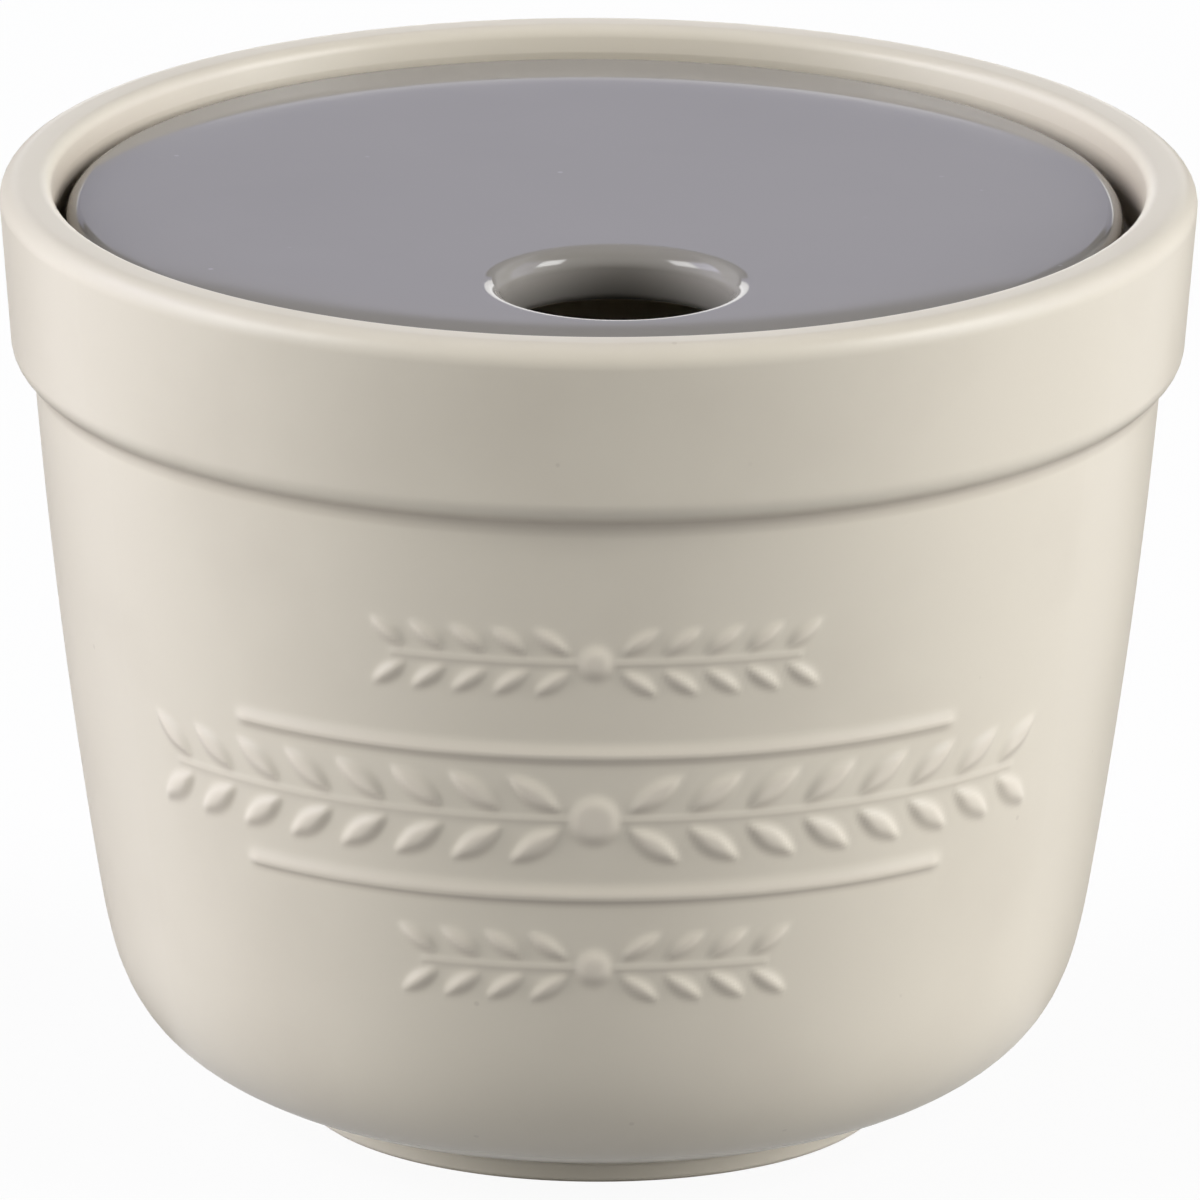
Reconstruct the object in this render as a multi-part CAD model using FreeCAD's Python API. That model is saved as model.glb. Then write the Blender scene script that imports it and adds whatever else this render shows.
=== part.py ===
"""Garlic keeper: a stoneware pot with a thick collar, and a loose lid with a finger hole.

Millimetres, +Z up. The origin is the centre of the foot ring on the table, and the front, where
the relief and the finger hole are, faces -Y. Each piece is one solid in parts/NAME.step.
"""
import FreeCAD, Part
import math
import os

from FreeCAD import Vector

# ---- Pot: overall sizes ----
pot_height = 96.2            # table to the top of the rim
rim_radius = 60.0            # outer radius of the collar, where it is widest
foot_radius = 29.45          # outer radius of the foot ring

# ---- Pot: collar and rim ----
collar_height = 19.2         # top of the rim down to the collar's underside
collar_step = 3.45           # the collar's widest radius less the wall's radius under it
collar_taper = 4.7           # degrees that the collar's side leans in on its way down
collar_round = 3.0           # lower edge of the collar
rim_width = 5.0              # top of the collar, from its outside to the lid's recess
rim_outer_round = 2.2
rim_inner_round = 1.4

# ---- Pot: wall, bowl and foot ----
knee_height = 24.0           # where the wall turns into the bowl's round lower edge
wall_draft = 6.7             # radius that the wall loses from the collar down to the knee
wall_bow = 0.55              # how far the wall bulges past a straight line
bowl_wall_fullness = 0.57    # how closely the round lower edge follows the wall, 0 to 1
bowl_floor_fullness = 0.96   # how closely it follows the underside, 0 to 1
underside_width = 3.65       # straight part of the underside beside the foot ring
underside_slope = 17.5       # degrees
foot_height = 2.04
foot_ring_width = 5.2
foot_edge_round = 0.6
wall_thickness = 5.5
floor_thickness = 6.0        # over the hollow inside the foot ring
cavity_round = 18.0          # between the inner wall and the floor

# ---- Lid, and the ledge that carries it ----
lid_thickness = 5.5
lid_recess = 2.6             # top of the lid below the top of the rim
lid_gap = 2.0                # all round, between a centred lid and the collar
lid_shift_right = -0.4       # the loose lid lies this far off centre, along X
lid_shift_back = 1.3         # and along Y
lid_turn = 4.4               # degrees that the loose lid is turned about its own centre
lid_edge_round = 1.6
lid_lower_round = 1.0
lid_crown_width = 15.0       # this far in from its edge, the top starts to curve gently down
lid_crown_radius = 375.0     # radius of that curve
ledge_overlap = 3.0          # how far a centred lid reaches over the ledge
ledge_depth = 6.0            # height of the ledge's inner face
ledge_back_height = 4.0      # height of the slope from that face back to the wall

# ---- Finger hole ----
finger_hole_radius = 11.5
finger_hole_margin = 12.2    # from the edge of the hole to the edge of the lid
finger_hole_round = 2.0      # top edge of the hole
finger_hole_lower_round = 1.0

# ---- Relief on the front of the wall ----
relief_height = 0.7          # how far it stands out of the wall
relief_root = 2.0            # how deep each raised shape starts inside the wall
bar_width = 1.4
upper_bar_place = 0.532      # share of the way up from the knee to the collar
lower_bar_place = 0.245
bar_half_angle = 42.0        # degrees each side of the front
stem_width = 0.8
leaf_tilt = 35.0             # degrees between a leaf and its stem
leaf_clearance = 0.25        # between a leaf's foot and the edge of its stem

# Three garlands: place of the stem as for the bars, half angle that it spans, leaf length and
# width, pitch along the wall, and radius of the bead in the middle.
garlands = [
    dict(place=0.722, half_angle=24.5, leaf=5.2, width=2.3, pitch=4.2, bead=2.2),
    dict(place=0.402, half_angle=57.0, leaf=7.2, width=3.1, pitch=6.0, bead=3.0),
    dict(place=0.100, half_angle=27.5, leaf=5.5, width=2.4, pitch=4.4, bead=2.3),
]

# ---- Worked out ----
collar_base = pot_height - collar_height
wall_top_radius = rim_radius - collar_step
knee_radius = wall_top_radius - wall_draft
recess_radius = rim_radius - rim_width
lid_radius = recess_radius - lid_gap
lid_top = pot_height - lid_recess
ledge_top = lid_top - lid_thickness
lid_flat_radius = lid_radius - lid_crown_width
finger_hole_reach = lid_radius - finger_hole_margin - finger_hole_radius
ledge_radius = lid_radius - ledge_overlap
floor_top = foot_height + floor_thickness
beyond = 5.0                 # how far a cutting shape runs past what it cuts

axis_point = Vector(0, 0, 0)
up = Vector(0, 0, 1)


def at(radius, height):
    """A point of a turned profile, on the +X side."""
    return Vector(radius, 0, height)


def line(start, end):
    return Part.LineSegment(start, end).toShape()


def turned(edges):
    """The solid that a closed profile sweeps in one full turn about Z."""
    face = Part.Face(Part.Wire(Part.sortEdges(edges)[0]))
    solid = face.revolve(axis_point, up, 360)
    return solid if solid.ShapeType == "Solid" else solid.Solids[0]


def rounded_polygon(corners):
    """Closed profile through (radius, height, rounding) corners, each rounded by an arc."""
    count = len(corners)
    points = [at(r, z) for r, z, _ in corners]
    starts, ends, edges = [], [], []
    for i, (_, _, rounding) in enumerate(corners):
        here, before, after = points[i], points[i - 1], points[(i + 1) % count]
        to_before = (before - here).normalize()
        to_after = (after - here).normalize()
        if rounding == 0:
            starts.append(here)
            ends.append(here)
            continue
        half = to_before.getAngle(to_after) / 2
        reach = rounding / math.tan(half)
        middle = (to_before + to_after).normalize()
        nearest = here + middle * (rounding / math.sin(half) - rounding)
        starts.append(here + to_before * reach)
        ends.append(here + to_after * reach)
        edges.append(Part.Arc(starts[-1], nearest, ends[-1]).toShape())
    for i in range(count):
        edges.append(line(ends[i], starts[(i + 1) % count]))
    return edges


def wall_height(share):
    """Height of a place on the wall, as a share of the way up from the knee to the collar."""
    return knee_height + share * (collar_base - knee_height)


def wall_radius(height):
    """Outer radius of the pot's wall between the knee and the collar."""
    share = (height - knee_height) / (collar_base - knee_height)
    chord = knee_radius + wall_draft * share
    return chord + 4 * wall_bow * share * (1 - share)


def body_blank(grow=0.0):
    """The pot without its collar, hollow and foot, its wall moved out by grow."""
    knee = at(knee_radius + grow, knee_height)
    middle = at(wall_radius(wall_height(0.5)) + grow, wall_height(0.5))
    top = at(wall_top_radius + grow, collar_base)
    wall = Part.Arc(knee, middle, top)

    slope = math.radians(underside_slope)
    inner_rise = foot_height + underside_width * math.tan(slope)
    bowl_foot = at(foot_radius + underside_width, inner_rise)
    down = wall.tangent(wall.FirstParameter)[0] * -1
    outward = at(math.cos(slope), math.sin(slope))
    # The two tangents meet at the corner that the round lower edge replaces.
    across = knee - bowl_foot
    turn = outward.x * down.z - outward.z * down.x
    along_floor = (across.x * down.z - across.z * down.x) / turn
    corner = bowl_foot + outward * along_floor
    bowl = Part.BezierCurve()
    bowl.setPoles([
        bowl_foot,
        bowl_foot + (corner - bowl_foot) * bowl_floor_fullness,
        knee + (corner - knee) * bowl_wall_fullness,
        knee,
    ])

    foot_corner = at(foot_radius, foot_height)
    return turned([
        line(at(0, foot_height), foot_corner),
        line(foot_corner, bowl_foot),
        bowl.toShape(),
        wall.toShape(),
        line(top, at(0, collar_base)),
        line(at(0, collar_base), at(0, foot_height)),
    ])


def collar_ring():
    """The thick collar. Its inside is cut later, with the hollow of the pot."""
    side_drop = collar_height - rim_outer_round
    lower_radius = rim_radius - side_drop * math.tan(math.radians(collar_taper))
    upper_radius = rim_radius + rim_outer_round * math.tan(math.radians(collar_taper))
    inside = ledge_radius - beyond
    return turned(rounded_polygon([
        (inside, collar_base, 0),
        (lower_radius, collar_base, collar_round),
        (upper_radius, pot_height, rim_outer_round),
        (recess_radius, pot_height, rim_inner_round),
        (recess_radius, ledge_top, 0),
        (inside, ledge_top, 0),
    ]))


def hollow():
    """The space inside the pot, below the lid, with the ledge left standing."""
    ledge_foot = ledge_top - ledge_depth
    slope_foot = ledge_foot - ledge_back_height
    upper_radius = wall_radius(slope_foot) - wall_thickness
    knee_inside = knee_radius - wall_thickness
    lean = (upper_radius - knee_inside) / (slope_foot - knee_height)
    lower_radius = knee_inside - (knee_height - floor_top) * lean
    return turned(rounded_polygon([
        (0, floor_top, 0),
        (lower_radius, floor_top, cavity_round),
        (upper_radius, slope_foot, 0),
        (ledge_radius, ledge_foot, 0),
        (ledge_radius, ledge_top + beyond, 0),
        (0, ledge_top + beyond, 0),
    ]))


def foot_ring():
    inner_radius = foot_radius - foot_ring_width
    return turned(rounded_polygon([
        (inner_radius, 0, foot_edge_round),
        (foot_radius, 0, foot_edge_round),
        (foot_radius, foot_height + 1, 0),
        (inner_radius, foot_height + 1, 0),
    ]))


def stamp(outline, angle, height):
    """A raised shape's outline, in X and Z about its middle, run out through the wall."""
    root = wall_radius(height) - relief_root
    face = Part.Face(Part.Wire(outline))
    prism = face.extrude(Vector(0, -(relief_root + beyond), 0))
    prism.translate(Vector(0, -root, height))
    prism.rotate(axis_point, up, angle)
    return prism


def leaf_outline(length, width, tilt):
    """A pointed leaf of two arcs, its long axis tilted from the horizontal."""
    turn = math.radians(tilt)
    along = Vector(math.cos(turn), 0, math.sin(turn)) * (length / 2)
    across = Vector(-math.sin(turn), 0, math.cos(turn)) * (width / 2)
    return [
        Part.Arc(along * -1, across, along).toShape(),
        Part.Arc(along, across * -1, along * -1).toShape(),
    ]


def band(height, width, first_angle, last_angle):
    """A raised strip along the wall, between two angles from the front."""
    outer = wall_radius(height) + beyond
    inner = wall_radius(height) - relief_root
    ring = Part.makeCylinder(outer, width, at(0, height - width / 2), up, last_angle - first_angle)
    ring = ring.cut(Part.makeCylinder(inner, width, at(0, height - width / 2)))
    ring.rotate(axis_point, up, first_angle - 90)
    return ring


def garland(place, half_angle, leaf, width, pitch, bead):
    """Pairs of leaves along a stem, mirrored about a round bead at the front."""
    height = wall_height(place)
    radius = wall_radius(height)
    shapes = [stamp([Part.Circle(axis_point, Vector(0, 1, 0), bead).toShape()], 0, height)]
    tilt = math.radians(leaf_tilt)
    run = leaf * math.cos(tilt)
    rise = leaf * math.sin(tilt) / 2 + stem_width / 2 + leaf_clearance
    room = radius * math.radians(half_angle) - bead - run
    pairs = int(room / pitch) + 1
    stem_start = math.degrees(bead / 2 / radius)
    stem_end = math.degrees((bead + run / 2 + (pairs - 1) * pitch) / radius)
    for side in (-1, 1):
        first, last = sorted((side * stem_start, side * stem_end))
        shapes.append(band(height, stem_width, first, last))
        for pair in range(pairs):
            angle = side * math.degrees((bead + run / 2 + pair * pitch) / radius)
            for level in (-1, 1):
                outline = leaf_outline(leaf, width, side * level * leaf_tilt)
                shapes.append(stamp(outline, angle, height + level * rise))
    return shapes


def relief():
    """Every raised shape on the front of the wall, as one list of solids."""
    shapes = [
        band(wall_height(upper_bar_place), bar_width, -bar_half_angle, bar_half_angle),
        band(wall_height(lower_bar_place), bar_width, -bar_half_angle, bar_half_angle),
    ]
    for row in garlands:
        shapes += garland(**row)
    skin = body_blank(relief_height)
    return [solid for shape in shapes for solid in shape.common(skin).Solids]


def pot():
    """One casting: bowl, wall, collar, ledge, foot ring and relief."""
    blank = body_blank().fuse([collar_ring(), foot_ring()])
    blank = blank.cut(hollow())
    return blank.fuse(relief()).removeSplitter()


def lid():
    """A disc with a gently rounded top, a soft edge and a finger hole near the front."""
    drop_angle = math.asin(lid_crown_width / lid_crown_radius)
    half_angle = drop_angle / 2

    def crown(angle):
        return at(
            lid_flat_radius + lid_crown_radius * math.sin(angle),
            lid_top - lid_crown_radius * (1 - math.cos(angle)),
        )

    edge_top = crown(drop_angle)
    disc = turned([
        line(at(0, ledge_top), at(lid_radius, ledge_top)),
        line(at(lid_radius, ledge_top), edge_top),
        Part.Arc(edge_top, crown(half_angle), crown(0)).toShape(),
        line(crown(0), at(0, lid_top)),
        line(at(0, lid_top), at(0, ledge_top)),
    ])
    bore = Part.makeCylinder(
        finger_hole_radius, lid_thickness + 2 * beyond,
        Vector(0, -finger_hole_reach, ledge_top - beyond),
    )
    disc = disc.cut(bore)

    def edges_on(radius, low, high):
        """Circular edges of one radius between two heights."""
        return [
            edge for edge in disc.Edges
            if edge.BoundBox.ZMin > low and edge.BoundBox.ZMax < high
            and abs(edge.BoundBox.XLength / 2 - radius) < 0.01
        ]

    middle = (edge_top.z + ledge_top) / 2
    roundings = [
        (lid_radius, middle, lid_top + 1, lid_edge_round),
        (lid_radius, ledge_top - 1, middle, lid_lower_round),
        (finger_hole_radius, middle, lid_top + 1, finger_hole_round),
        (finger_hole_radius, ledge_top - 1, middle, finger_hole_lower_round),
    ]
    for radius, low, high, rounding in roundings:
        disc = disc.makeFillet(rounding, edges_on(radius, low, high))
    disc.rotate(axis_point, up, lid_turn)
    disc.translate(Vector(lid_shift_right, lid_shift_back, 0))
    return disc


def main():
    os.makedirs("parts", exist_ok=True)
    for name, make in (("pot", pot), ("lid", lid)):
        shape = make()
        print(name, "valid", shape.isValid(), "solids", len(shape.Solids),
              "faces", len(shape.Faces), "volume", round(shape.Volume, 1))
        solid = shape.Solids[0] if len(shape.Solids) == 1 else shape
        solid.exportStep(os.path.join("parts", name + ".step"))


main()
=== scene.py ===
"""Garlic keeper: the glazed surfaces of a stoneware pot and its loose lid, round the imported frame."""

import math

import bmesh
import bpy
import numpy as np
from mathutils import Matrix, Vector, geometry


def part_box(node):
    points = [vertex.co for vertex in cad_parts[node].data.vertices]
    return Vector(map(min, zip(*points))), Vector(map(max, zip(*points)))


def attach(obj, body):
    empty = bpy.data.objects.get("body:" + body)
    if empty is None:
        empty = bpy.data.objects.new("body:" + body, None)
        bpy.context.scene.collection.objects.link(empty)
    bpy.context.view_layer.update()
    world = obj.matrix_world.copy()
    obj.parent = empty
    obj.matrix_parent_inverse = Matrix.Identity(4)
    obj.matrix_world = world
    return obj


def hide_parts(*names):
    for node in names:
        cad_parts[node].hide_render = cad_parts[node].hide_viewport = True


bl_info = {
    "name": "Garlic keeper",
    "version": (1, 0, 0),
    "blender": (4, 5, 0),
    "location": "View3D > Sidebar > Garlic keeper",
    "description": "Models a glazed stoneware garlic keeper and its studio",
    "category": "Add Mesh",
}

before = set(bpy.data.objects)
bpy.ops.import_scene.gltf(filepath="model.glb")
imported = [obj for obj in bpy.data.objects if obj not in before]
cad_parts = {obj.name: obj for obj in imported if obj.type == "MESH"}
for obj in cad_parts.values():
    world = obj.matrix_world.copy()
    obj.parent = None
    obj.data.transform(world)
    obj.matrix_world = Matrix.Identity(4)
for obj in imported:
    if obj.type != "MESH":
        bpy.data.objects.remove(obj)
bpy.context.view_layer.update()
_, pot_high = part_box("pot")
lid_low, lid_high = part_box("lid")

MM = 0.001
UP = Vector((0, 0, 1))
CENTRE = Vector((0, 0, 0))


def length(name, description, default):
    """A size property in metres, shown in the scene's unit."""
    return bpy.props.FloatProperty(
        name=name, description=description, default=default,
        min=0.0, subtype="DISTANCE", unit="LENGTH", precision=4,
    )


def angle(name, description, degrees):
    """An angle property, given in degrees and kept in radians."""
    return bpy.props.FloatProperty(
        name=name, description=description, default=math.radians(degrees),
        subtype="ANGLE", unit="ROTATION",
    )


def share(name, description, default):
    """A property from 0 to 1."""
    return bpy.props.FloatProperty(
        name=name, description=description, default=default, min=0.0, max=1.0, subtype="FACTOR",
    )


def colour(name, description, default):
    """A colour property, in linear red, green and blue."""
    return bpy.props.FloatVectorProperty(
        name=name, description=description, default=default,
        size=3, min=0.0, max=1.0, subtype="COLOR",
    )


# ---- What a user can change ----

class PotSizes(bpy.types.PropertyGroup):
    """Sizes of the pot. Its height and width come from the frame."""
    height: length("Height", "Table to the top of the rim", pot_high.z)
    rim_radius: length("Rim radius", "Widest radius of the collar", pot_high.x)
    collar_height: length("Collar height", "Top of the rim down to the underside", 19.2 * MM)
    collar_step: length("Collar step", "How far the collar stands out of the wall", 3.45 * MM)
    collar_taper: angle("Collar taper", "Lean of the collar's side", 4.7)
    collar_round: length("Collar round", "Lower edge of the collar", 3.0 * MM)
    collar_fillet: length("Glaze fillet", "Glaze pooled under the collar", 1.5 * MM)
    rim_width: length("Rim width", "Collar's outside to the lid's recess", 5.0 * MM)
    recess_lean: length("Recess lean", "How far the recess narrows down to the lid", 0.45 * MM)
    rim_outer_round: length("Rim outer round", "Outer edge of the rim", 2.2 * MM)
    rim_inner_round: length("Rim inner round", "Inner edge of the rim", 1.4 * MM)
    knee_height: length("Knee height", "Where the wall turns into the bowl", 24.0 * MM)
    wall_draft: length("Wall draft", "Radius lost from collar to knee", 6.7 * MM)
    wall_bow: length("Wall bow", "Bulge of the wall past a straight line", 0.55 * MM)
    bowl_wall_fullness: share("Bowl wall fullness", "How closely the bowl follows the wall", 0.57)
    bowl_floor_fullness: share("Bowl floor fullness", "How closely it follows the underside", 0.96)
    underside_width: length("Underside width", "Straight underside beside the foot", 3.65 * MM)
    underside_slope: angle("Underside slope", "Rise of the underside", 17.5)
    foot_radius: length("Foot radius", "Outer radius of the foot ring", 29.45 * MM)
    foot_height: length("Foot height", "Height of the foot ring", 2.04 * MM)
    foot_ring_width: length("Foot ring width", "Width of the foot ring", 5.2 * MM)
    foot_edge_round: length("Foot edge round", "Edges of the foot ring", 0.6 * MM)
    wall_thickness: length("Wall thickness", "Thickness of the wall", 5.5 * MM)
    floor_thickness: length("Floor thickness", "Thickness of the floor", 6.0 * MM)
    cavity_round: length("Cavity round", "Between the inner wall and the floor", 18.0 * MM)
    ledge_depth: length("Ledge depth", "Height of the ledge's inner face", 6.0 * MM)
    ledge_back_height: length("Ledge slope", "Height of the slope under the ledge", 4.0 * MM)
    ledge_width: length("Ledge width", "Recess wall to the ledge's inner edge", 5.0 * MM)
    soft_edge: length("Soft edge", "Glaze rounding of every other edge", 0.5 * MM)


class ReliefSizes(bpy.types.PropertyGroup):
    """Sizes of the raised bars and laurel garlands on the front of the pot."""
    height: length("Height", "How far the relief stands out of the wall", 0.42 * MM)
    edge: length("Soft edge", "Width over which the glaze rounds an edge", 1.0 * MM)
    bar_width: length("Bar width", "Width of a plain bar", 1.4 * MM)
    bar_rise: share("Bar rise", "Share of the relief's height that a bar has", 0.92)
    bar_lower_edge: length("Bar's lower edge", "Width of its steep lower edge", 0.6 * MM)
    bar_upper_edge: length("Bar's upper edge", "Width of its slow upper slope", 1.9 * MM)
    # How far the painted shade reaches below a raised edge.
    shade_reach: length("Glaze run", "How far glaze gathers below a raised edge", 0.8 * MM)
    upper_bar_place: share("Upper bar", "Share of the way from knee to collar", 0.532)
    lower_bar_place: share("Lower bar", "Share of the way from knee to collar", 0.245)
    bar_half_angle: angle("Bar half angle", "Reach of the bars each side of the front", 42.0)
    stem_width: length("Stem width", "Width of a garland's stem", 0.9 * MM)
    leaf_tilt: angle("Leaf tilt", "Angle between a leaf and its stem", 35.0)
    leaf_clearance: length("Leaf clearance", "Leaf's foot to the edge of its stem", 0.25 * MM)


class LidSizes(bpy.types.PropertyGroup):
    """Sizes of the lid. Its place and thickness come from the frame."""
    turn: angle("Turn", "How far the loose lid is turned", 4.4)
    edge_round: length("Edge round", "Upper outer edge", 1.6 * MM)
    lower_round: length("Lower round", "Lower outer edge", 1.0 * MM)
    flat_radius: length("Flat radius", "The top is level inside this radius", 38.0 * MM)
    crown_radius: length("Crown radius", "Curve of the top outside it", 375.0 * MM)
    hole_radius: length("Finger hole radius", "Bore of the finger hole", 11.5 * MM)
    hole_reach: length("Finger hole reach", "Lid's centre to the hole's centre", 29.3 * MM)
    hole_round: length("Finger hole round", "Upper edge of the finger hole", 2.0 * MM)
    hole_lower_round: length("Finger hole lower round", "Lower edge of the hole", 1.0 * MM)


class GlazeColours(bpy.types.PropertyGroup):
    """Colours of the glazes, of the painted shade and of the bare clay, and how dark the shade at the
    recess's sides is.
    """
    cream: colour("Cream glaze", "The pot", (0.725, 0.67, 0.56))
    cream_thin: colour("Thin cream glaze", "Where it runs thin over a raised edge", (0.80, 0.73, 0.62))
    # The pooled colour shows in random patches and specks, and also as painted shade below the relief,
    # under the collar and at the recess's sides.
    cream_pooled_and_shade: colour("Pooled cream glaze", "Where it gathers", (0.52, 0.46, 0.38))
    grey: colour("Grey glaze", "The lid", (0.295, 0.277, 0.25))
    clay: colour("Bare clay", "Where the glaze is wiped off", (0.62, 0.55, 0.45))
    # How dark the painted shade at the sides of the lid's recess is.
    recess_shade: share("Recess pooling", "Gathered glaze at the sides of the lid's recess", 1.0)


class StudioSettings(bpy.types.PropertyGroup):
    """Camera of the studio."""
    distance: length("Camera distance", "Camera to the pot's axis", 4.0205)
    elevation: angle("Camera elevation", "How far the camera looks down", 16.87)
    roll: angle("Camera roll", "Lean of the picture", 0.346)
    view_width: length("View width", "Width of the picture at the pot's axis", 120.5 * MM)
    aim_height: length("Aim height", "Middle of the picture on the pot's axis", 52.08 * MM)
    aim_right: length("Aim right", "Middle of the picture, right of the axis", 0.377 * MM)


GROUPS = (
    ("keeper_pot", PotSizes),
    ("keeper_relief", ReliefSizes),
    ("keeper_lid", LidSizes),
    ("keeper_glaze", GlazeColours),
    ("keeper_studio", StudioSettings),
)


# ---- Outlines, as points in the XZ plane ----

BOWL_STEPS = 24              # straight steps along the bowl's round lower edge
FILLET_STEPS = 5             # and along the fillet under the collar


def at(radius, height):
    return Vector((radius, 0, height))


def arc(centre, radius, first, last, steps):
    """Points on an arc, its angles in radians from +X towards +Z."""
    turns = [first + (last - first) * i / steps for i in range(steps + 1)]
    return [centre + at(radius * math.cos(t), radius * math.sin(t)) for t in turns]


def plain(points):
    """Corners that aren't rounded."""
    return [(p, 0, 1) for p in points]


class PotShape:
    """Radii and heights worked out from the pot's sizes."""

    def __init__(self, sizes):
        self.sizes = sizes
        self.collar_base = sizes.height - sizes.collar_height
        self.wall_top_radius = sizes.rim_radius - sizes.collar_step
        self.knee_radius = self.wall_top_radius - sizes.wall_draft
        self.recess_radius = sizes.rim_radius - sizes.rim_width
        self.ledge_radius = self.recess_radius - sizes.ledge_width
        self.ledge_top = lid_low.z
        self.floor_top = sizes.foot_height + sizes.floor_thickness

    def wall_height(self, place):
        return self.sizes.knee_height + place * (self.collar_base - self.sizes.knee_height)

    def wall_radius(self, height):
        """Outer radius of the wall. It also takes an array of heights."""
        rise = self.collar_base - self.sizes.knee_height
        place = (height - self.sizes.knee_height) / rise
        bow = 4 * self.sizes.wall_bow * place * (1 - place)
        return self.knee_radius + self.sizes.wall_draft * place + bow

    def bowl(self, steps):
        """Round lower edge, from the straight underside up to the knee."""
        s = self.sizes
        rise = s.foot_height + s.underside_width * math.tan(s.underside_slope)
        foot = at(s.foot_radius + s.underside_width, rise)
        knee = at(self.knee_radius, s.knee_height)
        lean = (s.wall_draft + 4 * s.wall_bow) / (self.collar_base - s.knee_height)
        outward = at(math.cos(s.underside_slope), math.sin(s.underside_slope))
        corner = geometry.intersect_line_line(foot, foot + outward, knee, knee + at(lean, 1))[0]
        return [Vector(p) for p in geometry.interpolate_bezier(
            foot, foot.lerp(corner, s.bowl_floor_fullness),
            knee.lerp(corner, s.bowl_wall_fullness), knee, steps,
        )]

    def collar_side(self, height):
        """Radius of the collar's side at a height."""
        below = self.sizes.height - self.sizes.rim_outer_round - height
        return self.sizes.rim_radius - below * math.tan(self.sizes.collar_taper)

    def collar_underside(self, steps):
        """Glaze fillet over the wall, then the round lower edge of the collar."""
        s = self.sizes
        round_height = self.collar_base + s.collar_round
        back = s.collar_round / math.cos(s.collar_taper)
        big = at(self.collar_side(round_height) - back, round_height)
        small_x = self.wall_radius(self.collar_base) + s.collar_fillet
        across = small_x - big.x
        drop = math.sqrt((s.collar_round + s.collar_fillet) ** 2 - across ** 2)
        small = at(small_x, big.z - drop)
        meet = math.atan2(drop, -across)
        fillet = arc(small, s.collar_fillet, math.pi, meet, steps)
        edge = arc(big, s.collar_round, meet - math.pi, -s.collar_taper, 2 * steps)
        return fillet + edge[1:]


def pot_corners(shape, wall_rows):
    """The pot's section as (point, rounding, steps), from under its floor round to its top."""
    s = shape.sizes
    soft = s.soft_edge
    foot_inner = s.foot_radius - s.foot_ring_width
    foot = [
        (at(0, s.foot_height), 0, 1),
        (at(foot_inner, s.foot_height), soft, 3),
        (at(foot_inner, 0), s.foot_edge_round, 4),
        (at(s.foot_radius, 0), s.foot_edge_round, 4),
        (at(s.foot_radius, s.foot_height), soft, 3),
    ]
    underside = shape.collar_underside(FILLET_STEPS)
    wall_top = underside[0].z
    row = (wall_top - s.knee_height) / wall_rows
    heights = [s.knee_height + row * i for i in range(1, wall_rows)]
    wall = [at(shape.wall_radius(z), z) for z in heights]

    ledge_foot = shape.ledge_top - s.ledge_depth
    slope_foot = ledge_foot - s.ledge_back_height
    upper_radius = shape.wall_radius(slope_foot) - s.wall_thickness
    knee_inside = shape.knee_radius - s.wall_thickness
    lean = (upper_radius - knee_inside) / (slope_foot - s.knee_height)
    lower_radius = knee_inside - (s.knee_height - shape.floor_top) * lean
    top_corner = s.rim_radius + s.rim_outer_round * math.tan(s.collar_taper)
    inside = [
        (at(top_corner, s.height), s.rim_outer_round, 10),
        (at(shape.recess_radius, s.height), s.rim_inner_round, 7),
        (at(shape.recess_radius - s.recess_lean, lid_high.z), 2 * soft, 3),
        (at(shape.recess_radius - s.recess_lean, shape.ledge_top), soft, 4),
        (at(shape.ledge_radius, shape.ledge_top), soft, 4),
        (at(shape.ledge_radius, ledge_foot), soft, 3),
        (at(upper_radius, slope_foot), 2 * soft, 3),
        (at(lower_radius, shape.floor_top), s.cavity_round, 14),
        (at(0, shape.floor_top), 0, 1),
    ]
    return foot + plain(shape.bowl(BOWL_STEPS) + wall + underside) + inside


RELIEF_REACH = math.radians(60)  # the mesh is fine this far each side of the front
RELIEF_PITCH = 0.38 * MM         # and its faces are about this size there
FINE_SECTORS = 8
BACK_STEPS = 72


def pot_sectors(shape):
    """Fine steps round the front, where the relief is, and longer ones round the back."""
    front_steps = int(2 * RELIEF_REACH * shape.wall_top_radius / RELIEF_PITCH)
    steps = round(front_steps / FINE_SECTORS)
    first = -math.pi / 2 - RELIEF_REACH
    turn = 2 * RELIEF_REACH / FINE_SECTORS
    fine = [(first + i * turn, first + (i + 1) * turn, steps) for i in range(FINE_SECTORS)]
    return fine + [(first + 2 * RELIEF_REACH, first + 2 * math.pi, BACK_STEPS)]


# ---- Turning and finishing meshes ----

def section(corners):
    """One open chain of edges through the corners, with each rounding bevelled."""
    bm = bmesh.new()
    chain = [bm.verts.new(point) for point, _, _ in corners]
    for pair in zip(chain, chain[1:]):
        bm.edges.new(pair)
    for i, (here, rounding, steps) in enumerate(corners):
        if rounding == 0:
            continue
        half = (corners[i - 1][0] - here).angle(corners[i + 1][0] - here) / 2
        bmesh.ops.bevel(
            bm, geom=[chain[i]], offset=rounding / math.tan(half), offset_type="OFFSET",
            segments=steps, profile=0.5, affect="VERTICES", material=-1, clamp_overlap=False,
        )
    return bm


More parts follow.
